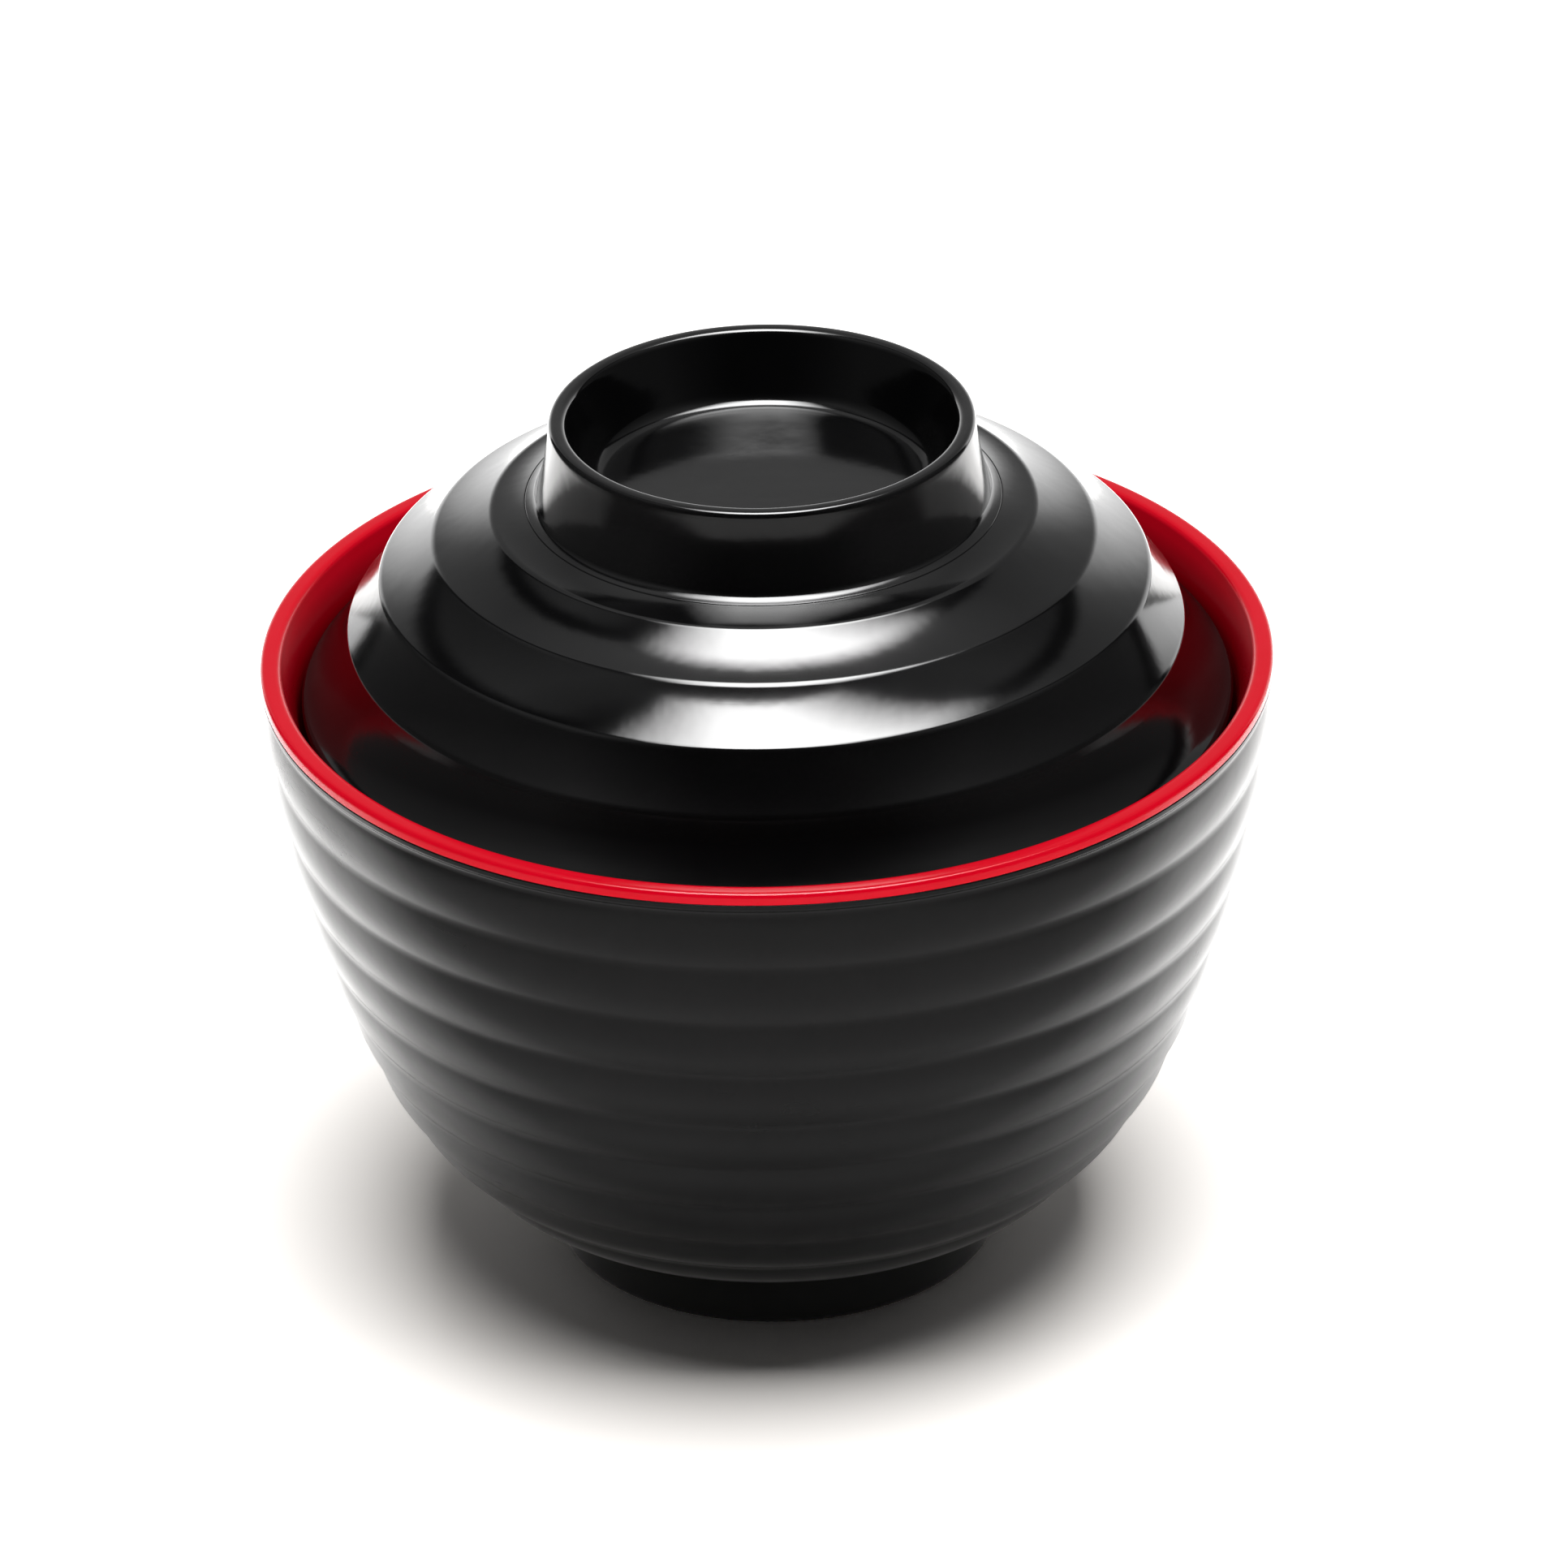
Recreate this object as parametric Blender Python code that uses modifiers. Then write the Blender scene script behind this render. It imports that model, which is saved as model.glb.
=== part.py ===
"""Lidded rice bowl: a two-tone bowl (black shell, red liner) and a two-tone lid that lifts straight off.

Every piece is turned about +Z.  The origin is the centre of the foot ring on the table.
Profiles are lists of (radius, height) in millimetres, scaled to metres when the mesh is made.
"""
from math import atan2, cos, pi, radians, sin

import bmesh
import bpy

MM = 0.001
SEGMENTS = 40              # sides of every turned piece
MERGE = 0.00001            # weld distance on the axis, metres
GAP = 0.3                  # clearance between touching pieces
AXIS = 0.0                 # radius of a point on the axis

# bowl
RIM_RADIUS = 57.5
RIM_HEIGHT = 72.8          # top of the black wall, under the red lip
LIP_RISE = 1.4             # red lip above the black wall
LIP_WIDTH = 2.2
LIP_ROUND = 0.65           # rounding of both edges of the lip
SHELL_WALL = 1.9
LINER_WALL = 1.6
WALL_LEAN = 3.7            # degrees inward from straight down at the rim
WALL_ARC = (49.8, 19.9)    # length and turn in degrees of the upper side
BELLY_ARC = (12.2, 23.0)   # the rounder turn below it
UNDERSIDE = 7.0            # straight run below the belly
SHOULDER = (8.6, 21.0)     # flatter run that reaches the foot ring
RIM_BAND = 1.2             # plain band above the first rib
RIB_PITCHES = [7.75] * 4 + [7.1] * 3 + [7.5] * 2
RIB_DEPTH = 0.6
GROOVE_DEPTH = 0.45
FOOT_RADIUS = 25.6
FOOT_INNER = 22.9
FOOT_RECESS = 5.4
FLOOR_RADIUS = 17.0        # flat part of the inside floor
FLOOR_BLEND = 5.0          # height over which the floor turns up into the wall
WALL_STEP = 7.5            # spacing of points on the smooth inner walls

# lid
KNOB_TOP = 103.6
KNOB_RADIUS = 24.0
KNOB_LIP = 1.8
KNOB_BASE = (25.7, 94.5)
WELL_FLOOR = 95.5
WELL_RADIUS = 19.3
WELL_FILLET = 1.6
TIER_EDGES = [(30.7, 92.9), (37.4, 89.4), (43.6, 84.6), (47.5, 78.3)]
TIER_HOLLOW = 0.3          # how far each tier dips between its edges
SKIRT_HOLLOW = 0.9         # the same on the last tier, which flares to the brim
BRIM_CENTRE = (51.75, 69.35)
BRIM_ROUND = 1.2
LID_SHELL_WALL = 2.0
LID_LINER_WALL = 1.6
DOME_INSIDE = [(AXIS, 95.5), (18.0, 95.5), (25.7, 95.2), (30.7, 93.0), (37.4, 89.5),
               (43.6, 84.5), (47.5, 78.3), (50.6, 71.6)]

BLACK = (0.012, 0.012, 0.013, 1.0)
RED = (0.62, 0.012, 0.022, 1.0)


def run(start, heading, stretches, step):
    """Points along a path of arcs: heading and turns in degrees, lengths in millimetres."""
    points = [start]
    angle = radians(heading)
    for length, turn in stretches:
        count = max(1, round(length / step))
        for _ in range(count):
            angle += radians(turn) / count / 2
            radius, height = points[-1]
            points.append((radius + length / count * cos(angle), height + length / count * sin(angle)))
            angle += radians(turn) / count / 2
    return points


def along(points, distances):
    """The points at the given distances along a polyline."""
    found = []
    walked = 0.0
    wanted = list(distances)
    for (r0, z0), (r1, z1) in zip(points, points[1:]):
        length = ((r1 - r0) ** 2 + (z1 - z0) ** 2) ** 0.5
        while wanted and wanted[0] <= walked + length:
            share = (wanted.pop(0) - walked) / length
            found.append((r0 + share * (r1 - r0), z0 + share * (z1 - z0)))
        walked += length
    return found


def normals(points):
    """Left-hand unit normal at each point: outward on a profile that runs down its outer side."""
    result = []
    for index in range(len(points)):
        r0, z0 = points[max(index - 1, 0)]
        r1, z1 = points[min(index + 1, len(points) - 1)]
        length = ((r1 - r0) ** 2 + (z1 - z0) ** 2) ** 0.5
        result.append((-(z1 - z0) / length, (r1 - r0) / length))
    return result


def offset(points, distance):
    """The polyline moved sideways, to the left of its direction when distance is positive."""
    return [(max(r + nr * distance, AXIS), z + nz * distance)
            for (r, z), (nr, nz) in zip(points, normals(points))]


def bulge(start, end, height, count):
    """Points after start up to end, bowed to the left by height."""
    r0, z0 = start
    r1, z1 = end
    length = ((r1 - r0) ** 2 + (z1 - z0) ** 2) ** 0.5
    points = []
    for index in range(1, count + 1):
        share = index / count
        rise = 4 * height * share * (1 - share) / length
        points.append((r0 + share * (r1 - r0) - rise * (z1 - z0), z0 + share * (z1 - z0) + rise * (r1 - r0)))
    return points


def arc(centre, radius, first, last, count):
    """Points on an arc between two angles in degrees, both ends included."""
    angles = [radians(first + (last - first) * index / count) for index in range(count + 1)]
    return [(centre[0] + radius * cos(angle), centre[1] + radius * sin(angle)) for angle in angles]


def bowl_side(step):
    """Smooth outer side of the bowl, rim to foot ring, through the crests of its ribs."""
    first_turns = WALL_ARC[1] + BELLY_ARC[1]
    side = run((RIM_RADIUS, RIM_HEIGHT), -90 - WALL_LEAN,
               [(WALL_ARC[0], -WALL_ARC[1]), (BELLY_ARC[0], -BELLY_ARC[1]), (UNDERSIDE, 0)], step)
    return side, -90 - WALL_LEAN - first_turns


def ribbed_side():
    """Outer side of the bowl from the rim down: a plain band, then one convex rib after another."""
    side, heading = bowl_side(0.5)
    levels = [RIM_BAND]
    for pitch in RIB_PITCHES:
        levels.append(levels[-1] + pitch)
    grooves = along(offset(side, -GROOVE_DEPTH), levels)
    points = [(RIM_RADIUS, RIM_HEIGHT), (RIM_RADIUS, RIM_HEIGHT - RIM_BAND * 0.6), grooves[0]]
    for upper, lower in zip(grooves, grooves[1:]):
        points += bulge(upper, lower, RIB_DEPTH, 3)
    length, turn = SHOULDER
    return points + run(points[-1], heading - turn, [(length, 0)], length)[1:]


def radius_at(points, height):
    """Radius of a rising polyline at one height."""
    for (r0, z0), (r1, z1) in zip(points, points[1:]):
        if z0 <= height <= z1:
            return r0 + (r1 - r0) * (height - z0) / (z1 - z0)
    return points[-1][0]


def bowl_inside(distance, top, floor):
    """An inner surface of the bowl, from the floor's centre up and out to height top."""
    side, _ = bowl_side(WALL_STEP)
    extended = [(RIM_RADIUS + LIP_WIDTH * sin(radians(WALL_LEAN)), RIM_HEIGHT + LIP_WIDTH)] + side
    wall = offset(extended, -distance)
    wall.reverse()
    rising = [point for point in wall if floor + FLOOR_BLEND < point[1] < top - GAP]
    turn_in = bulge((FLOOR_RADIUS, floor), rising[0], -1.2, 3)
    return [(AXIS, floor), (FLOOR_RADIUS, floor)] + turn_in + rising[1:] + [(radius_at(wall, top), top)]


def bowl_shell_profile():
    """Black shell: inside floor to rim, down the ribbed side, round the foot ring to the axis."""
    inside = bowl_inside(SHELL_WALL, RIM_HEIGHT, FOOT_RECESS + SHELL_WALL)
    foot = [(FOOT_RADIUS + 0.3, ribbed_side()[-1][1] - 0.7), (FOOT_RADIUS, 0.6), (FOOT_RADIUS - 0.5, 0.0),
            (FOOT_INNER + 0.3, 0.0), (FOOT_INNER, 0.4), (FOOT_INNER - 0.4, FOOT_RECESS - 0.8),
            (FOOT_INNER - 1.4, FOOT_RECESS), (AXIS, FOOT_RECESS)]
    return inside + ribbed_side() + foot


def bowl_liner_profile():
    """Red liner: inside floor up the wall and the lid's seat, over the lip, back down to the axis."""
    near = SHELL_WALL + GAP
    far = near + LINER_WALL
    floor = FOOT_RECESS + near
    seat = RIM_HEIGHT - 3.4
    inside = bowl_inside(far, seat, floor + LINER_WALL)
    lip_base = RIM_HEIGHT + GAP
    lip_top = RIM_HEIGHT + LIP_RISE
    inner_centre = (RIM_RADIUS - LIP_WIDTH + LIP_ROUND, lip_top - LIP_ROUND)
    outer_centre = (RIM_RADIUS - LIP_ROUND, lip_top - LIP_ROUND)
    lip = arc(inner_centre, LIP_ROUND, 180, 90, 2) + arc(outer_centre, LIP_ROUND, 90, 0, 2)
    lip.append((RIM_RADIUS, lip_base))
    outside = bowl_inside(near, lip_base, floor)
    outside.reverse()
    return inside + lip + outside


def knob_profile():
    """Knob ring of the lid: floor of its well, up the inside, over the lip, down to its base."""
    fillet_centre = (WELL_RADIUS - WELL_FILLET, WELL_FLOOR + WELL_FILLET)
    points = [(AXIS, WELL_FLOOR)] + arc(fillet_centre, WELL_FILLET, -90, -8, 3)
    inner = KNOB_RADIUS - KNOB_LIP
    points += [(inner, KNOB_TOP - 0.7), (inner + 0.4, KNOB_TOP), (KNOB_RADIUS - 0.4, KNOB_TOP)]
    outer = (KNOB_RADIUS, KNOB_TOP - 0.7)
    return points + [outer] + bulge(outer, KNOB_BASE, -0.35, 3)


def tiers():
    """Stepped top of the lid, from the knob's base to the rounded brim."""
    points = []
    start = KNOB_BASE
    for edge in TIER_EDGES:
        points += bulge(start, edge, -TIER_HOLLOW, 4)
        start = edge
    brim = arc(BRIM_CENTRE, BRIM_ROUND, 75, -70, 5)
    return points + bulge(start, brim[0], -SKIRT_HOLLOW, 5) + brim[1:]


def dome(distance):
    """A smooth surface inside the lid, centre first, distance below the guide line."""
    return offset(DOME_INSIDE, -distance)


def lid_shell_profile():
    """Black lid: knob, tiers and brim, then back up its smooth inside to the axis."""
    inside = dome(LID_SHELL_WALL)
    inside[0] = (AXIS, inside[0][1])
    inside.append((inside[-1][0] + 0.5, BRIM_CENTRE[1] - BRIM_ROUND))
    inside.reverse()
    return knob_profile() + tiers() + inside


def lid_liner_profile():
    """Red inside of the lid: a thin dome that ends flush with the brim."""
    outside = dome(LID_SHELL_WALL + GAP)
    inside = dome(LID_SHELL_WALL + GAP + LID_LINER_WALL)
    outside.append((outside[-1][0] + 0.4, BRIM_CENTRE[1] - BRIM_ROUND + 0.3))
    inside.append((outside[-1][0] - LID_LINER_WALL, outside[-1][1]))
    inside.reverse()
    return outside + inside


def material(name, colour, roughness):
    """A glossy plastic material of one colour."""
    result = bpy.data.materials.new(name)
    result.use_nodes = True
    shader = result.node_tree.nodes["Principled BSDF"]
    shader.inputs["Base Color"].default_value = colour
    shader.inputs["Roughness"].default_value = roughness
    shader.inputs["Metallic"].default_value = 0.0
    return result


def turned(name, profile, finish, collection):
    """A closed solid: the profile turned about +Z with a Screw modifier."""
    mesh = bpy.data.meshes.new(name)
    outline = bmesh.new()
    vertices = [outline.verts.new((radius * MM, 0.0, height * MM)) for radius, height in profile]
    for first, second in zip(vertices, vertices[1:]):
        outline.edges.new((first, second))
    outline.to_mesh(mesh)
    outline.free()
    mesh.materials.append(finish)
    piece = bpy.data.objects.new(name, mesh)
    collection.objects.link(piece)
    screw = piece.modifiers.new("turned", "SCREW")
    screw.axis = "Z"
    screw.steps = SEGMENTS
    screw.render_steps = SEGMENTS
    screw.use_merge_vertices = True
    screw.merge_threshold = MERGE
    screw.use_smooth_shade = True
    return piece


def build():
    """Clear the scene and model the bowl and its lid."""
    for old in list(bpy.data.objects):
        bpy.data.objects.remove(old, do_unlink=True)
    collection = bpy.data.collections.new("rice_bowl")
    bpy.context.scene.collection.children.link(collection)
    black = material("black_melamine", BLACK, 0.12)
    red = material("red_melamine", RED, 0.15)

    bowl = bpy.data.objects.new("bowl_axis", None)
    lid = bpy.data.objects.new("lid_axis", None)
    for empty in (bowl, lid):
        collection.objects.link(empty)
    turned("bowl_shell", bowl_shell_profile(), black, collection).parent = bowl
    turned("bowl_liner", bowl_liner_profile(), red, collection).parent = bowl
    turned("lid_shell", lid_shell_profile(), black, collection).parent = lid
    turned("lid_liner", lid_liner_profile(), red, collection).parent = lid


build()
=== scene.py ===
"""Looks of the lidded rice bowl: smooth turned melamine pieces on a white table in soft studio light.

Profiles are lists of (radius, height) in millimetres, scaled to metres when a mesh is made.
"""
from math import cos, dist, hypot, pi, radians, sin, tan

import bmesh
import bpy
from mathutils import Matrix, Vector


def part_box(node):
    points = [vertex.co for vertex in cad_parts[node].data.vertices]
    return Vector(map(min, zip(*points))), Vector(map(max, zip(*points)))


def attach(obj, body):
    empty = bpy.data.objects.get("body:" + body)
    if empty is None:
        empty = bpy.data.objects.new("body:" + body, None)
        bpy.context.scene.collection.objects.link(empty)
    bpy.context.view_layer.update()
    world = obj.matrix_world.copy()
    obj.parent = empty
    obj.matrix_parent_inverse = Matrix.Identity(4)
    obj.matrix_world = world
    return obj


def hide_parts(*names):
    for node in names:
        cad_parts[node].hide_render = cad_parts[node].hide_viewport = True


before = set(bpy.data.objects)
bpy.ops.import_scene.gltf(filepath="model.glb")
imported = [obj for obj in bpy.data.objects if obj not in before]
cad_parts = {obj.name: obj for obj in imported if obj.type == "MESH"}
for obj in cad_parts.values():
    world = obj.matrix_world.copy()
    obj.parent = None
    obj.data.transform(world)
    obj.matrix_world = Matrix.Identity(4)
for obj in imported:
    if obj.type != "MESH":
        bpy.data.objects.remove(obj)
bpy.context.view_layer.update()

MM = 0.001
SEGMENTS = 224           # sides of every turned piece
MESH_STEP = 1.2          # longest stretch between two rings
AXIS = 0.0               # radius of a point on the axis


def top_of(node):
    """Highest point of a CAD node, in millimetres."""
    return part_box(node)[1].z / MM


# bowl
RIM_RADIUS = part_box("bowl_shell")[1].x / MM
RIM_HEIGHT = top_of("bowl_shell")      # top of the black wall, under the red lip
LIP_TOP = top_of("bowl_liner")
LIP_WIDTH = 2.2
LIP_ROUND = 0.65
PARTING = 0.06             # hairline between the black wall and the red lip
SHELL_WALL = 1.9
LINER_WALL = 1.6
LINER_GAP = 0.15
WALL_LEAN = 3.7            # degrees inward from straight down at the rim
WALL_ARC = (49.8, 19.9)    # length and turn in degrees of the upper side
BELLY_ARC = (12.2, 23.0)   # the rounder turn below it
UNDERSIDE = 7.0            # straight run below the belly
SHOULDER = (8.6, 21.0)     # flatter run that reaches the foot ring
RIM_BAND = 1.2             # plain band above the first rib
RIB_PITCHES = [7.75] * 4 + [7.1] * 3 + [7.5] * 2
RIB_DEPTH = 0.6
GROOVE_DEPTH = 0.5
GROOVE_ROUND = 0.7
FOOT_RADIUS = 25.6
FOOT_INNER = 22.9
FOOT_RECESS = 5.4
FOOT_ROUND = 0.6
FLOOR_RADIUS = 17.0        # flat part of the inside floor
FLOOR_BLEND = 5.0          # height over which the floor turns up into the wall
SEAT_DROP = 3.4            # the lid's seat, below the rim

# lid
KNOB_TOP = top_of("lid_shell")
KNOB_RADIUS = 24.0
KNOB_LIP = 1.8
WELL_FLOOR = 95.5
WELL_RADIUS = 19.3
WELL_FILLET = 1.6
KNOB_ROUND = 0.7
KNOB_HOLLOW = 0.35
TIER_EDGES = [(30.7, 92.9), (37.4, 89.4), (43.6, 84.6), (47.5, 78.3)]
TIER_HOLLOW = 0.3          # how far each tier dips between its edges
TIER_ROUND = 0.42          # rounding of the edges between tiers
COLLAR = [(25.75, 94.35), (26.85, 93.72)]      # slope round the knob's base, down to a crease
COLLAR_HOLLOW = 0.06
CREASE = 0.12              # depth of the crease
SKIRT_HOLLOW = 0.9         # dip of the last tier, which flares to the brim
BRIM_CENTRE = (51.75, 69.35)
BRIM_ROUND = 1.2
LID_SHELL_WALL = 2.0
LID_LINER_WALL = 1.6
DOME_INSIDE = [(AXIS, 95.5), (18.0, 95.5), (25.7, 95.2), (30.7, 93.0), (37.4, 89.5),
               (43.6, 84.5), (47.5, 78.3), (50.6, 71.6)]


# ---------------------------------------------------------------- outlines

def heading_of(first, second):
    """Unit direction from one point to another."""
    length = hypot(second[0] - first[0], second[1] - first[1])
    return (second[0] - first[0]) / length, (second[1] - first[1]) / length


def line(start, end):
    """A straight stroke."""
    return [start, end]


def cove(start, end, dip, count=16):
    """A stroke that bows to the right of its direction by dip: inwards on an outer side."""
    along_r, along_z = heading_of(start, end)
    length = hypot(end[0] - start[0], end[1] - start[1])
    points = []
    for index in range(count + 1):
        share = index / count
        aside = 4 * dip * share * (1 - share)
        points.append((start[0] + share * length * along_r + aside * along_z,
                       start[1] + share * length * along_z - aside * along_r))
    return points


def arc(centre, radius, first, last, count=12):
    """A stroke on an arc between two angles in degrees."""
    angles = [radians(first + (last - first) * index / count) for index in range(count + 1)]
    return [(centre[0] + radius * cos(angle), centre[1] + radius * sin(angle)) for angle in angles]


def run(start, heading, stretches, step):
    """Points along a path of arcs: heading and turns in degrees, lengths in millimetres."""
    points = [start]
    angle = radians(heading)
    for length, turn in stretches:
        count = max(1, round(length / step))
        for _ in range(count):
            angle += radians(turn) / count / 2
            radius, height = points[-1]
            points.append((radius + length / count * cos(angle), height + length / count * sin(angle)))
            angle += radians(turn) / count / 2
    return points


def distinct(points):
    """The polyline without points that repeat the one before."""
    return points[:1] + [second for first, second in zip(points, points[1:]) if dist(first, second) > 1e-6]


def split_at(points, distance):
    """A polyline in two, cut at a distance from its start."""
    walked = 0.0
    for index, (first, second) in enumerate(zip(points, points[1:])):
        length = dist(first, second)
        if walked + length >= distance:
            share = (distance - walked) / length
            cut = (first[0] + share * (second[0] - first[0]), first[1] + share * (second[1] - first[1]))
            return distinct(points[:index + 1] + [cut]), distinct([cut] + points[index + 1:])
        walked += length
    return points, points[-1:]


def length_of(points):
    """Length of a polyline."""
    return sum(hypot(b[0] - a[0], b[1] - a[1]) for a, b in zip(points, points[1:]))


def corner(before, after, reach, count=8):
    """Replaces the corner between two strokes with a curve that starts and ends reach away from it."""
    room = min(reach, 0.49 * length_of(before), 0.49 * length_of(after))
    kept, _ = split_at(before, length_of(before) - room)
    _, rest = split_at(after, room)
    middle = before[-1]
    curve = []
    for index in range(1, count):
        share = index / count
        weights = ((1 - share) ** 2, 2 * share * (1 - share), share ** 2)
        points = (kept[-1], middle, rest[0])
        curve.append(tuple(sum(weight * point[axis] for weight, point in zip(weights, points))
                           for axis in (0, 1)))
    return kept + curve, rest


def outline(*parts):
    """One polyline from strokes with rounding reaches between them: stroke, reach, stroke, ..."""
    strokes = list(parts[0::2])
    reaches = list(parts[1::2])
    whole = strokes[0]
    for reach, stroke in zip(reaches, strokes[1:]):
        whole = distinct(whole)
        if reach > 0:
            head, tail = split_at(whole, max(0.0, length_of(whole) - 4 * reach))
            bent, rest = corner(tail, stroke, reach)
            whole = head[:-1] + bent + rest
        else:
            whole = whole + stroke[1:]
    return distinct(whole)


def chain(points, reach):
    """A polyline with each of its inner corners rounded."""
    parts = [line(points[0], points[1])]
    for first, second in zip(points[1:], points[2:]):
        parts += [reach, line(first, second)]
    return outline(*parts)


def offset(points, distance):
    """The polyline moved sideways, to the left of its direction when distance is positive."""
    moved = []
    for index, (radius, height) in enumerate(points):
        along_r, along_z = heading_of(points[max(index - 1, 0)], points[min(index + 1, len(points) - 1)])
        moved.append((max(radius - along_z * distance, AXIS), height + along_r * distance))
    return moved


def resample(points, step):
    """The polyline with extra points, so that no stretch is longer than step."""
    result = [points[0]]
    for first, second in zip(points, points[1:]):
        count = max(1, int(hypot(second[0] - first[0], second[1] - first[1]) / step))
        for index in range(1, count + 1):
            share = index / count
            result.append((first[0] + share * (second[0] - first[0]),
                           first[1] + share * (second[1] - first[1])))
    return result


# ---------------------------------------------------------------- the pieces' profiles

def bowl_side(step):
    """Smooth outer side of the bowl from the rim down, and its heading in degrees at the end."""
    side = run((RIM_RADIUS, RIM_HEIGHT), -90 - WALL_LEAN,
               [(WALL_ARC[0], -WALL_ARC[1]), (BELLY_ARC[0], -BELLY_ARC[1]), (UNDERSIDE, 0)], step)
    return side, -90 - WALL_LEAN - WALL_ARC[1] - BELLY_ARC[1]


def bowl_outside():
    """Outer side of the bowl: a plain band, nine convex ribs, the shoulder and the foot ring."""
    side, heading = bowl_side(0.5)
    inner_side = offset(side, -GROOVE_DEPTH)
    rim = (RIM_RADIUS, RIM_HEIGHT)
    band_end = (RIM_RADIUS, RIM_HEIGHT - RIM_BAND * 0.6)
    walked = RIM_BAND
    groove = split_at(inner_side, walked)[0][-1]
    parts = [line(rim, band_end), 0.3, line(band_end, groove)]
    for pitch in RIB_PITCHES:
        walked += pitch
        lower = split_at(inner_side, walked)[0][-1]
        parts += [GROOVE_ROUND, cove(groove, lower, -RIB_DEPTH)]
        groove = lower
    shoulder = run(groove, heading - SHOULDER[1], [(SHOULDER[0], 0)], SHOULDER[0])
    foot_top = (FOOT_RADIUS + 0.3, shoulder[-1][1] - 0.7)
    foot_low = (FOOT_RADIUS, 0.0)
    parts += [GROOVE_ROUND, shoulder, 0.5, line(shoulder[-1], foot_top), 0.4, line(foot_top, foot_low)]
    foot_in = (FOOT_INNER, 0.0)
    recess = (FOOT_INNER - 0.6, FOOT_RECESS)
    parts += [FOOT_ROUND, line(foot_low, foot_in), FOOT_ROUND, line(foot_in, recess)]
    parts += [1.6, line(recess, (AXIS, FOOT_RECESS))]
    return outline(*parts)


def bowl_inside(distance, top, floor):
    """An inner surface of the bowl, from the floor's centre up and out to height top."""
    side, _ = bowl_side(2.5)
    above = (RIM_RADIUS + LIP_WIDTH * sin(radians(WALL_LEAN)), RIM_HEIGHT + LIP_WIDTH)
    wall = offset([above] + side, -distance)
    wall.reverse()
    rising = [point for point in wall if floor + FLOOR_BLEND < point[1] < top - 0.3]
    last = next(point for point in wall if point[1] >= top - 0.3)
    share = (top - rising[-1][1]) / (last[1] - rising[-1][1])
    end = (rising[-1][0] + share * (last[0] - rising[-1][0]), top)
    knee = cove((FLOOR_RADIUS, floor), rising[0], 1.2)
    return outline(line((AXIS, floor), (FLOOR_RADIUS, floor)), 3.0, knee, 2.0, rising + [end])


def bowl_shell_profile():
    """Black shell: inside floor to rim, down the ribbed side, round the foot ring to the axis."""
    inside = bowl_inside(SHELL_WALL, RIM_HEIGHT, FOOT_RECESS + SHELL_WALL)
    rim = line(inside[-1], (RIM_RADIUS, RIM_HEIGHT))
    return outline(inside, 0.1, rim, 0.12, bowl_outside())


def bowl_liner_profile():
    """Red liner: inside floor up the wall and the lid's seat, over the lip, back down to the axis."""
    near = SHELL_WALL + LINER_GAP
    seat = RIM_HEIGHT - SEAT_DROP
    floor = FOOT_RECESS + near
    inside = bowl_inside(near + LINER_WALL, seat, floor + LINER_WALL)
    lip_inner = (RIM_RADIUS - LIP_WIDTH, LIP_TOP)
    lip_outer = (RIM_RADIUS, LIP_TOP)
    lip_base = (RIM_RADIUS, RIM_HEIGHT + PARTING)
    outside = bowl_inside(near, RIM_HEIGHT + PARTING, floor)
    outside.reverse()
    wall = line(inside[-1], lip_inner)
    return outline(inside, 0.8, wall, LIP_ROUND, line(lip_inner, lip_outer), LIP_ROUND,
                   line(lip_outer, lip_base), 0.1, line(lip_base, outside[0]), 0.1, outside)


def knob_outline():
    """Knob ring of the lid: floor of its well, up the inside, over the lip, down to its base."""
    inner = KNOB_RADIUS - KNOB_LIP
    well = (WELL_RADIUS - 0.1, WELL_FLOOR)
    inner_top = (inner, KNOB_TOP)
    outer_top = (KNOB_RADIUS, KNOB_TOP)
    return [line((AXIS, WELL_FLOOR), well), WELL_FILLET, line(well, inner_top), KNOB_ROUND,
            line(inner_top, outer_top), KNOB_ROUND, cove(outer_top, COLLAR[0], KNOB_HOLLOW)]


def lid_shell_profile():
    """Black lid: knob, tiers and brim, then back up its smooth inside to the axis."""
    crease = (COLLAR[1][0] + CREASE / 2, COLLAR[1][1] - CREASE)
    first = (COLLAR[1][0] + CREASE, COLLAR[1][1] - CREASE / 3)
    parts = knob_outline()
    parts += [0.35, cove(COLLAR[0], COLLAR[1], COLLAR_HOLLOW), 0.05, line(COLLAR[1], crease)]
    parts += [0.03, line(crease, first)]
    start = first
    for edge in TIER_EDGES:
        reach = 0.05 if start is first else TIER_ROUND
        hollow = TIER_HOLLOW * 0.6 if start is first else TIER_HOLLOW
        parts += [reach, cove(start, edge, hollow)]
        start = edge
    brim = arc(BRIM_CENTRE, BRIM_ROUND, 75, -70)
    parts += [TIER_ROUND, cove(start, brim[0], SKIRT_HOLLOW), 0.5, brim]
    inside = dome(LID_SHELL_WALL)
    rim = (inside[-1][0] + 0.5, BRIM_CENTRE[1] - BRIM_ROUND)
    inside.append(rim)
    inside.reverse()
    parts += [0.3, line(brim[-1], rim), 0.3, inside]
    return outline(*parts)


def dome(distance):
    """A smooth surface inside the lid, centre first, distance below the guide line."""
    return chain(offset(DOME_INSIDE, -distance), 3.0)


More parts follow.
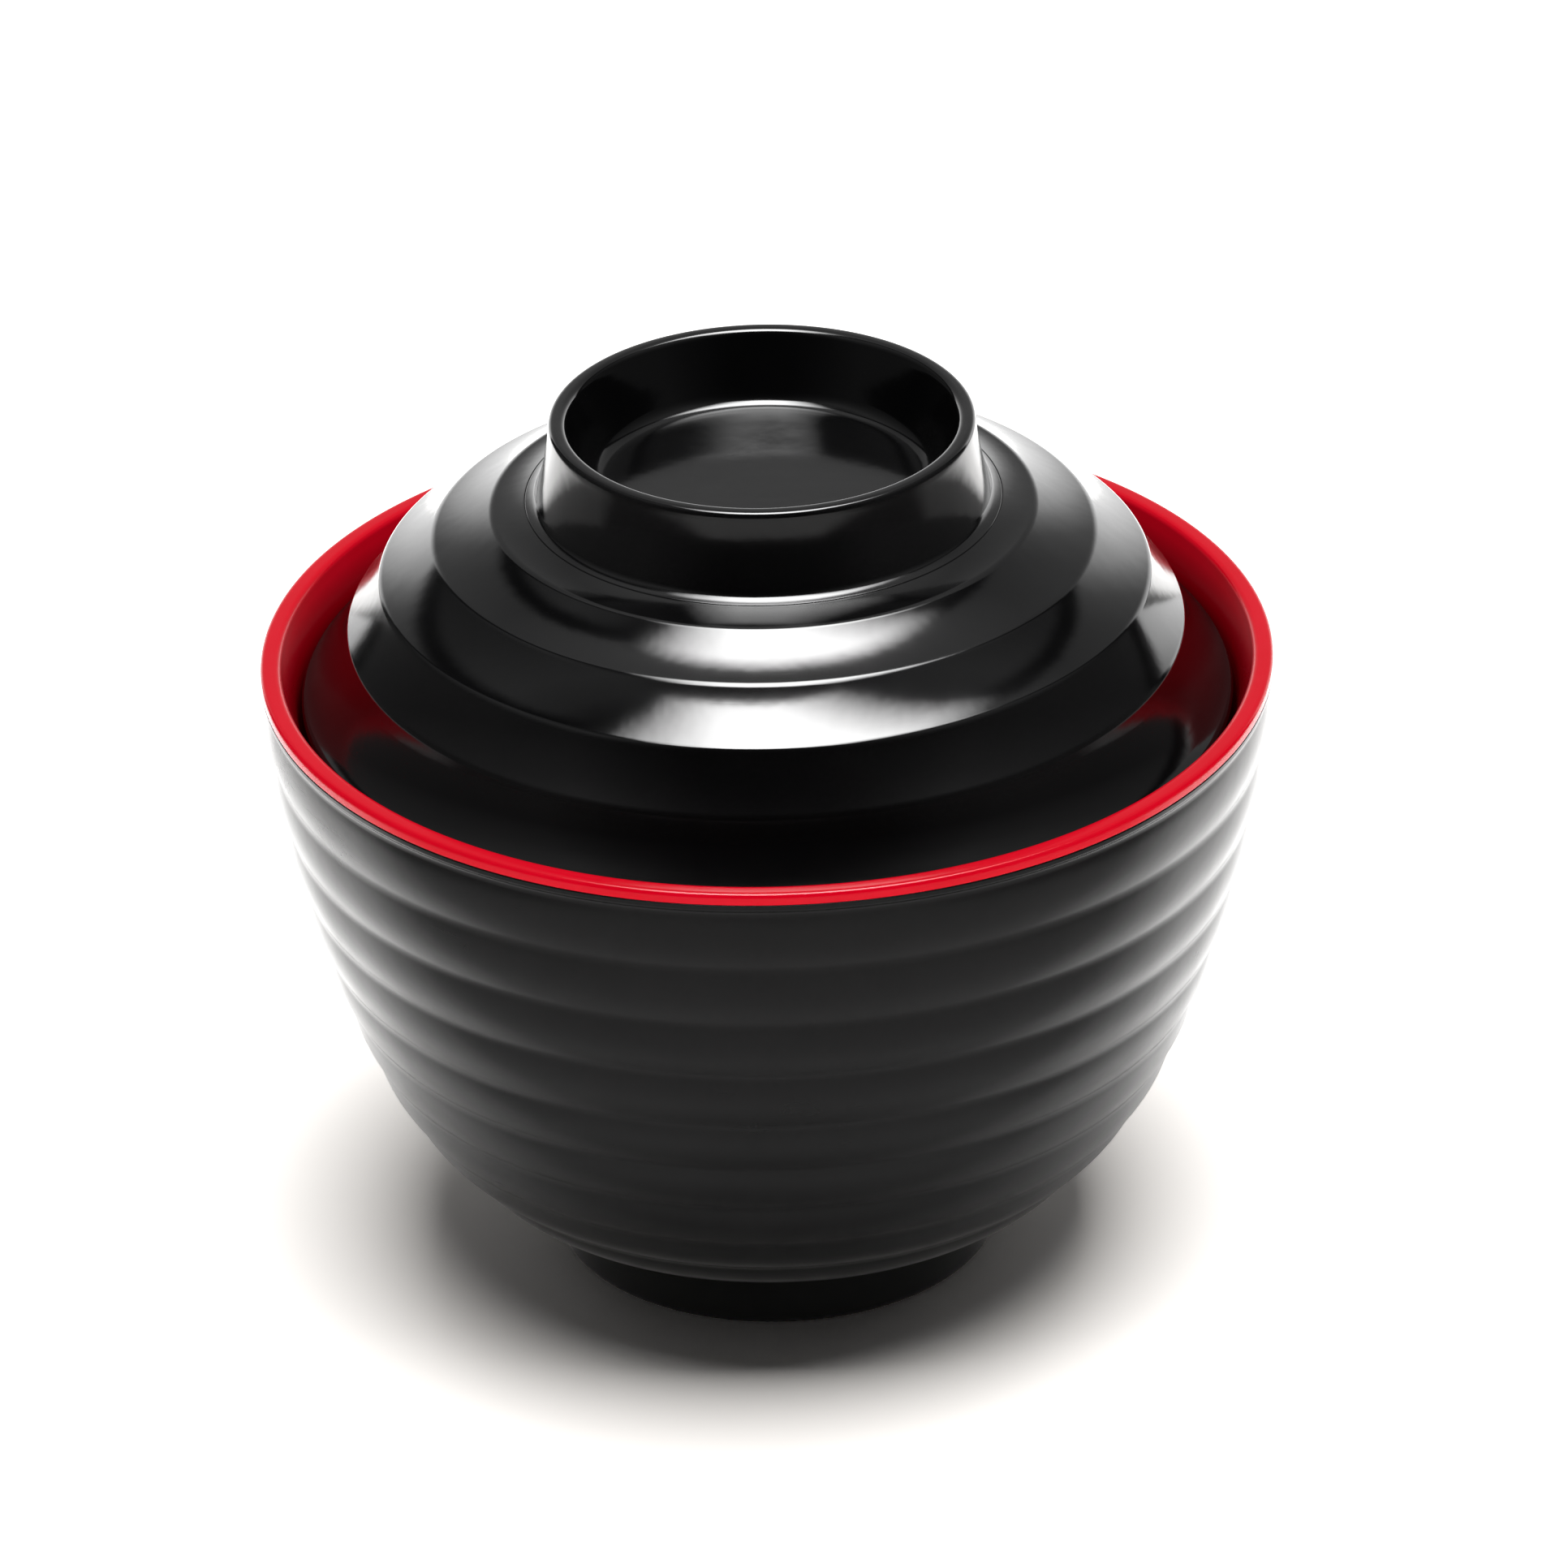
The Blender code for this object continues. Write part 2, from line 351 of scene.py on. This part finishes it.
def lid_liner_profile():
    """Red inside of the lid: a thin dome that ends flush with the brim."""
    outside = dome(LID_SHELL_WALL + LINER_GAP)
    inside = dome(LID_SHELL_WALL + LINER_GAP + LID_LINER_WALL)
    low = BRIM_CENTRE[1] - BRIM_ROUND + 0.1
    outer_low = (outside[-1][0] + 0.4, low)
    inner_low = (outer_low[0] - LID_LINER_WALL, low)
    inside.reverse()
    return outline(outside, 0.2, line(outside[-1], outer_low), 0.4, line(outer_low, inner_low), 0.6,
                   line(inner_low, inside[0]), 0.6, inside)


# ---------------------------------------------------------------- meshes

def turned(name, profile, body, node, finish):
    """A closed mesh: the profile turned about +Z, in place of a CAD node and riding on its body."""
    shape = bmesh.new()
    rings = []
    for radius, height in resample(profile, MESH_STEP):
        if radius < 1e-6:
            rings.append([shape.verts.new((0.0, 0.0, height * MM))])
            continue
        ring = []
        for index in range(SEGMENTS):
            angle = 2 * pi * index / SEGMENTS
            place = Vector((radius * cos(angle), radius * sin(angle), height)) * MM
            ring.append(shape.verts.new(place))
        rings.append(ring)
    for first, second in zip(rings, rings[1:]):
        for index in range(SEGMENTS):
            after = (index + 1) % SEGMENTS
            corners = [first[index % len(first)], first[after % len(first)],
                       second[after % len(second)], second[index % len(second)]]
            separate = list(dict.fromkeys(corners))
            if len(separate) > 2:
                shape.faces.new(separate)
    bmesh.ops.remove_doubles(shape, verts=shape.verts, dist=1e-7)
    bmesh.ops.recalc_face_normals(shape, faces=shape.faces)
    mesh = bpy.data.meshes.new(name)
    shape.to_mesh(mesh)
    shape.free()
    mesh.shade_smooth()
    mesh.materials.append(finish)
    piece = bpy.data.objects.new(name, mesh)
    bpy.context.scene.collection.objects.link(piece)
    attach(piece, body)
    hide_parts(node)
    return piece


# ---------------------------------------------------------------- materials

class Nodes:
    """A small helper for building one material's node tree."""

    def __init__(self, name):
        self.material = bpy.data.materials.new(name)
        self.material.use_nodes = True
        self.tree = self.material.node_tree
        self.shader = self.tree.nodes["Principled BSDF"]
        self.place = self.tree.nodes.new("ShaderNodeTexCoord").outputs["Object"]

    def add(self, kind, settings=None, inputs=None):
        """A node with its properties set and its inputs set or linked."""
        node = self.tree.nodes.new(kind)
        for key, value in (settings or {}).items():
            setattr(node, key, value)
        for key, value in (inputs or {}).items():
            self.feed(node.inputs[key], value)
        return node

    def feed(self, socket, value):
        """Sets a socket, or links it when the value is another socket."""
        if isinstance(value, bpy.types.NodeSocket):
            self.tree.links.new(value, socket)
        else:
            socket.default_value = value

    def noise(self, scale, detail=3.0, roughness=0.5, place=None):
        """Noise over the object's own coordinates, scale in cycles per metre."""
        return self.add("ShaderNodeTexNoise", inputs={
            "Vector": place or self.place, "Scale": scale, "Detail": detail, "Roughness": roughness,
        }).outputs["Fac"]

    def around(self, squeeze):
        """Coordinates round the axis, squeezed that way so that marks come out as long streaks."""
        parts = self.add("ShaderNodeSeparateXYZ", inputs={0: self.place}).outputs
        turn = self.sum(parts["Y"], parts["X"], "ARCTAN2")
        flat = self.add("ShaderNodeVectorMath", {"operation": "MULTIPLY"},
                        {0: self.place, 1: (1.0, 1.0, 0.0)})
        radius = self.add("ShaderNodeVectorMath", {"operation": "LENGTH"}, {0: flat.outputs["Vector"]})
        return self.add("ShaderNodeCombineXYZ", inputs={
            "X": self.sum(turn, squeeze, "MULTIPLY"), "Y": radius.outputs["Value"], "Z": parts["Z"],
        }).outputs["Vector"]

    def span(self, value, low, high, to_low, to_high):
        """A value mapped from one range to another, clamped."""
        return self.add("ShaderNodeMapRange", {"clamp": True}, {
            "Value": value, "From Min": low, "From Max": high, "To Min": to_low, "To Max": to_high,
        }).outputs["Result"]

    def sum(self, first, second, operation="ADD"):
        """Two values added, or combined by another operation."""
        return self.add("ShaderNodeMath", {"operation": operation}, {0: first, 1: second}).outputs[0]

    def mix(self, share, first, second):
        """Two colours mixed."""
        node = self.add("ShaderNodeMix", {"data_type": "RGBA"})
        self.feed(node.inputs[0], share)
        self.feed(node.inputs[6], first)
        self.feed(node.inputs[7], second)
        return node.outputs[2]

    def bump(self, height, distance, strength=1.0, normal=None):
        """A bump from a height value, distance in metres."""
        inputs = {"Height": height, "Distance": distance, "Strength": strength}
        if normal is not None:
            inputs["Normal"] = normal
        return self.add("ShaderNodeBump", inputs=inputs).outputs["Normal"]


DUST = (0.35, 0.33, 0.30, 1.0)
PAINTED_SHADE_SHARE = 0.5           # how much of the colour is left where painted shade darkens the inside of the bowl
STREAK = 0.0016            # how little the scratches change round the axis, metres a radian


def melamine(name, colour, pale, roughness, specular, depth=None):
    """Moulded melamine: rich even colour, a glossy skin with faint swirls, hairline scratches and dust.

    depth is a pair of heights in metres: below the first the colour is darkened by painted shade, above the
    second it is full.
    """
    made = Nodes(name)
    tone = made.noise(90.0, 4.0)
    scratch_field = made.noise(2600.0, 2.0, place=made.around(STREAK))
    scratches = made.span(scratch_field, 0.70, 0.80, 0.0, 1.0)
    smudge = made.noise(38.0, 5.0, 0.6)
    speck_field = made.add("ShaderNodeTexVoronoi", {"feature": "F1"},
                           {"Vector": made.place, "Scale": 230.0})
    speck_pick = made.span(speck_field.outputs["Color"], 0.0, 1.0, 0.0, 1.0)
    speck_near = made.span(speck_field.outputs["Distance"], 0.04, 0.075, 1.0, 0.0)
    speck_rare = made.span(speck_pick, 0.972, 0.976, 0.0, 1.0)
    specks = made.sum(speck_near, speck_rare, "MULTIPLY")
    tone_and_painted_shade = made.mix(made.span(tone, 0.3, 0.7, 0.0, 1.0), colour, pale)
    # painted shade: below the depth heights the colour darkens towards the bottom, as shade inside the bowl
    if depth is not None:
        height = made.add("ShaderNodeSeparateXYZ", inputs={0: made.place}).outputs["Z"]
        shade = tuple(PAINTED_SHADE_SHARE * channel for channel in colour[:3]) + (1.0,)
        tone_and_painted_shade = made.mix(made.span(height, depth[0], depth[1], 0.0, 1.0), shade, tone_and_painted_shade)
    made.feed(made.shader.inputs["Base Color"], made.mix(specks, tone_and_painted_shade, DUST))
    worn = made.span(smudge, 0.35, 0.7, roughness * 0.8, roughness * 1.3)
    worn = made.sum(worn, made.sum(scratches, 0.04, "MULTIPLY"))
    made.feed(made.shader.inputs["Roughness"], made.sum(worn, made.sum(specks, 0.4, "MULTIPLY")))
    orange_peel = made.bump(made.noise(260.0, 2.0), 0.00002)
    made.feed(made.shader.inputs["Normal"], made.bump(scratches, 0.0000015, 0.5, orange_peel))
    made.shader.inputs["Metallic"].default_value = 0.0
    made.shader.inputs["IOR"].default_value = 1.5
    made.shader.inputs["Specular IOR Level"].default_value = specular
    return made.material


# ---------------------------------------------------------------- the stage

CAMERA_PLACE = Vector((1.676, -1041.34, 623.68)) * MM
CAMERA_DROP = 28.572       # degrees that the camera looks down
CAMERA_ROLL = -1.133
VIEW_ANGLE = 8.647         # degrees across the square frame
SENSOR = 36.0


def camera():
    """The camera at the photograph's viewing angle."""
    data = bpy.data.cameras.new("camera")
    data.sensor_width = SENSOR
    data.lens = SENSOR / 2 / tan(radians(VIEW_ANGLE / 2))
    data.clip_start = 0.05
    data.clip_end = 50.0
    view = bpy.data.objects.new("camera", data)
    bpy.context.scene.collection.objects.link(view)
    down = radians(CAMERA_DROP)
    roll = radians(CAMERA_ROLL)
    side = Vector((1.0, 0.0, 0.0))
    rise = Vector((0.0, sin(down), cos(down)))
    right = side * cos(roll) + rise * sin(roll)
    up = rise * cos(roll) - side * sin(roll)
    back = right.cross(up)
    turn = Matrix((right, up, back)).transposed()
    view.matrix_world = Matrix.Translation(CAMERA_PLACE) @ turn.to_4x4()
    bpy.context.scene.camera = view


def linked(name, mesh, camera=False, glossy=False, diffuse=False):
    """A stage object that only some kinds of ray meet."""
    thing = bpy.data.objects.new(name, mesh)
    bpy.context.scene.collection.objects.link(thing)
    thing.visible_camera = camera
    thing.visible_glossy = glossy
    thing.visible_diffuse = diffuse
    thing.visible_shadow = False
    thing.visible_transmission = False


def flat_mesh(name, corners, finish):
    """A single flat face."""
    shape = bmesh.new()
    shape.faces.new([shape.verts.new(point) for point in corners])
    mesh = bpy.data.meshes.new(name)
    shape.to_mesh(mesh)
    shape.free()
    mesh.materials.append(finish)
    return mesh


def disc(radius, height):
    """Corners of a round table top."""
    angles = [2 * pi * index / 96 for index in range(96)]
    return [(radius * cos(angle), radius * sin(angle), height) for angle in angles]


def stage_material(name, kind, socket, build):
    """A stage material: one shader, one of whose sockets takes the value that build(nodes) returns."""
    made = Nodes(name)
    made.tree.nodes.remove(made.shader)
    shader = made.add(kind, inputs={socket: build(made)})
    output = next(node for node in made.tree.nodes if node.type == "OUTPUT_MATERIAL")
    made.tree.links.new(shader.outputs[0], output.inputs["Surface"])
    return made.material


# The table, in metres.  It is overexposed, so its colour is over 1, and a little warm in shadow.
TABLE_SIZE = 0.7
TABLE_WHITE = (2.07, 2.0, 1.93, 1.0)
MIRROR_SIZE = 0.5
MIRROR_DROP = 0.0002             # the mirrored face lies this far under the other
MIRROR_LEVELS = (0.55, 2.4)      # painted reflection levels of the table that the bowl sees, in front and behind
MIRROR_TURN = (-0.05, 0.01)      # where along Y it changes from one to the other
MIRROR_SIDES = (0.20, 0.27)      # where along X the painted reflection falls to MIRROR_SIDE_SHARE
MIRROR_SIDE_SHARE = 0.12
MIRROR_CONTACT = (0.04, 0.075)   # where the painted shadow under the bowl rises from MIRROR_CONTACT_SHARE
MIRROR_CONTACT_SHARE = 0.25


def painted_table_reflection(made):
    """Painted reflection of the table that the bowl sees: a painted shadow under the bowl, dim in front and
    bright behind.
    """
    parts = made.add("ShaderNodeSeparateXYZ", inputs={0: made.place})
    reach = made.add("ShaderNodeVectorMath", {"operation": "LENGTH"}, {0: made.place}).outputs["Value"]
    grey = made.span(parts.outputs["Y"], *MIRROR_TURN, *MIRROR_LEVELS)
    aside = made.span(made.sum(parts.outputs["X"], 0.0, "ABSOLUTE"), *MIRROR_SIDES, 1.0, MIRROR_SIDE_SHARE)
    near = made.span(reach, *MIRROR_CONTACT, MIRROR_CONTACT_SHARE, 1.0)
    return made.sum(made.sum(grey, aside, "MULTIPLY"), near, "MULTIPLY")


def table():
    """The white table: one face that the camera sees, and one that only reflections see."""
    white = stage_material("table", "ShaderNodeBsdfDiffuse", "Color", lambda _: TABLE_WHITE)
    # painted reflection and painted shadow on the face that only reflections see
    mirrored = stage_material("table_mirrored", "ShaderNodeBsdfDiffuse", "Color", painted_table_reflection)
    linked("table", flat_mesh("table", disc(TABLE_SIZE, 0.0), white), camera=True, diffuse=True)
    lower_face = flat_mesh("table_mirrored", disc(MIRROR_SIZE, -MIRROR_DROP), mirrored)
    linked("table_mirrored", lower_face, glossy=True)


# The overhead softbox, in metres.
KEY_HEIGHT = 3.0
KEY_CORNERS = [(-1.06, 0.85), (-1.29, -1.16), (1.0, -1.42), (1.96, 0.81)]
KEY_FADE = (0.8, 0.25, 0.95, 0.5)      # soft edges: left, front, right, back
KEY_MIRROR = 26.0                      # radiance that glossy surfaces see
KEY_POWER = 6.4                        # radiance that lights matt surfaces
KEY_SIDES = (-0.94, 1.34)              # the area light behind the soft edges
KEY_ENDS = (-1.32, 0.85)


def softbox_level(made):
    """Radiance of the softbox, fading to dark towards each of its sides."""
    level = KEY_MIRROR
    for index, fade in enumerate(KEY_FADE):
        x, y = KEY_CORNERS[index]
        along = heading_of(KEY_CORNERS[index], KEY_CORNERS[(index + 1) % 4])
        inward = (-along[1], along[0])
        shift = -(x * inward[0] + y * inward[1]) / KEY_HEIGHT
        depth = made.add("ShaderNodeVectorMath", {"operation": "DOT_PRODUCT"},
                         {0: made.place, 1: (inward[0], inward[1], shift)}).outputs["Value"]
        level = made.sum(made.span(depth, 0.0, fade, 0.0, 1.0), level, "MULTIPLY")
    path = made.add("ShaderNodeLightPath")
    return made.sum(made.span(path.outputs["Diffuse Depth"], 0.5, 1.0, 1.0, 0.0), level, "MULTIPLY")


def softbox():
    """The overhead softbox: a bright sheet for reflections, and an area light for matt surfaces."""
    glow = stage_material("softbox", "ShaderNodeEmission", "Strength", softbox_level)
    sheet_corners = [(x, y, KEY_HEIGHT) for x, y in KEY_CORNERS]
    linked("softbox", flat_mesh("softbox", sheet_corners, glow), glossy=True)
    data = bpy.data.lights.new("key", "AREA")
    data.shape = "RECTANGLE"
    data.size = KEY_SIDES[1] - KEY_SIDES[0]
    data.size_y = KEY_ENDS[1] - KEY_ENDS[0]
    data.energy = KEY_POWER * pi * data.size * data.size_y
    lamp = bpy.data.objects.new("key", data)
    bpy.context.scene.collection.objects.link(lamp)
    lamp.location = (sum(KEY_SIDES) / 2, sum(KEY_ENDS) / 2, KEY_HEIGHT)
    lamp.visible_camera = False
    lamp.visible_glossy = False


class WorldNodes(Nodes):
    """The same helper on the world's node tree."""

    def __init__(self):
        world = bpy.data.worlds.new("studio")
        bpy.context.scene.world = world
        world.use_nodes = True
        self.tree = world.node_tree
        self.tree.nodes.clear()
        world.cycles.sampling_method = "NONE"

    def plane(self, direction, heading, lean):
        """How far a direction lies in front of a plane through the origin."""
        level = cos(radians(lean))
        normal = (level * cos(radians(heading)), level * sin(radians(heading)), sin(radians(lean)))
        return self.add("ShaderNodeVectorMath", {"operation": "DOT_PRODUCT"},
                        {0: direction, 1: normal}).outputs["Value"]

    def levels(self, value, stops):
        """A value looked up along stops of (place, level)."""
        ramp = self.add("ShaderNodeValToRGB", inputs={"Fac": value})
        elements = ramp.color_ramp.elements
        while len(elements) < len(stops):
            elements.new(0.5)
        for element, (place, level) in zip(elements, stops):
            element.position = place
            grey = level / TOP_LEVEL
            element.color = (grey, grey, grey, 1.0)
        return self.sum(ramp.outputs["Color"], TOP_LEVEL, "MULTIPLY")


# Light that arrives from each height: (sine of the elevation, level).
BACK_LEVELS = [(0.0, 2.2), (0.05, 2.1), (0.17, 1.7), (0.26, 1.0), (0.36, 0.5), (0.5, 0.36),
               (0.7, 0.32), (0.82, 0.5), (0.95, 0.7)]
SIDE_LEVELS = [(0.0, 0.09), (0.26, 0.08), (0.42, 0.13), (0.57, 0.18), (0.77, 0.32), (0.86, 0.22),
               (0.91, 0.02)]
TOP_LEVEL = 3.0                        # the levels are kept under this inside the colour ramps
MATT_SHARE = 0.38                      # how much of it lights matt surfaces
BACK_LEFT = (37.0, 9.5)                # heading and lean in degrees of the planes that bound
BACK_RIGHT = (130.0, 9.0)              # the bright back
BACK_EDGE = (-0.02, 0.03)              # how softly the back begins
SIDE_EDGE = (-0.14, -0.08)             # and the sides end, with a dark gap between
FRONT_EDGE = (-0.95, -0.5)             # where the camera's side goes dark


def surroundings():
    """World light: a tent bright behind and dim beside, dark on the camera's side, white to the camera."""
    made = WorldNodes()
    direction = made.add("ShaderNodeTexCoord").outputs["Generated"]
    parts = made.add("ShaderNodeSeparateXYZ", inputs={0: direction})
    height = parts.outputs["Z"]
    left = made.plane(direction, *BACK_LEFT)
    right = made.plane(direction, *BACK_RIGHT)
    inside = made.sum(left, right, "MINIMUM")
    back = made.sum(made.span(inside, *BACK_EDGE, 0.0, 1.0), made.levels(height, BACK_LEVELS), "MULTIPLY")
    beside = made.sum(made.span(inside, *SIDE_EDGE, 1.0, 0.0), made.levels(height, SIDE_LEVELS), "MULTIPLY")
    level = made.sum(made.sum(1.0, made.sum(height, height, "MULTIPLY"), "SUBTRACT"), 0.5, "POWER")
    facing = made.sum(parts.outputs["Y"], level, "DIVIDE")
    beside = made.sum(beside, made.span(facing, *FRONT_EDGE, 0.05, 1.0), "MULTIPLY")
    light = made.sum(back, beside)
    path = made.add("ShaderNodeLightPath")
    share = made.span(path.outputs["Diffuse Depth"], 0.5, 1.0, 1.0, MATT_SHARE)
    matt = made.sum(light, share, "MULTIPLY")
    chosen = made.add("ShaderNodeMix", {"data_type": "FLOAT"},
                      {0: path.outputs["Is Camera Ray"], 2: matt, 3: 1.0}).outputs[0]
    background = made.add("ShaderNodeBackground", inputs={"Strength": chosen})
    background.inputs["Color"].default_value = (1.0, 1.0, 1.0, 1.0)
    output = made.add("ShaderNodeOutputWorld")
    made.tree.links.new(background.outputs[0], output.inputs["Surface"])


def studio():
    """Table, lights and surroundings."""
    table()
    surroundings()
    softbox()
    bpy.context.scene.view_settings.view_transform = "Standard"


camera()

BLACK = (0.0022, 0.0022, 0.0024, 1.0)
BLACK_PALE = (0.0034, 0.0034, 0.0036, 1.0)
RED = (0.68, 0.0, 0.012, 1.0)
RED_PALE = (0.72, 0.001, 0.016, 1.0)
LIP_PAINTED_SHADE_FADE = 2.5             # height over which painted shade darkens the red below the lip

black_lid = melamine("black_melamine_lid", BLACK, BLACK_PALE, 0.11, 0.5)
black_bowl = melamine("black_melamine_bowl", BLACK, BLACK_PALE, 0.22, 0.27)
# painted shade: the red liners darken below the lip
lip_painted_shade = ((RIM_HEIGHT - LIP_PAINTED_SHADE_FADE) * MM, RIM_HEIGHT * MM)
red = melamine("red_melamine", RED, RED_PALE, 0.14, 0.2, lip_painted_shade)

turned("ribbed_bowl_shell", bowl_shell_profile(), "bowl", "bowl_shell", black_bowl)
turned("red_bowl_liner", bowl_liner_profile(), "bowl", "bowl_liner", red)
turned("stepped_lid_shell", lid_shell_profile(), "lid", "lid_shell", black_lid)
turned("red_lid_liner", lid_liner_profile(), "lid", "lid_liner", red)

studio()
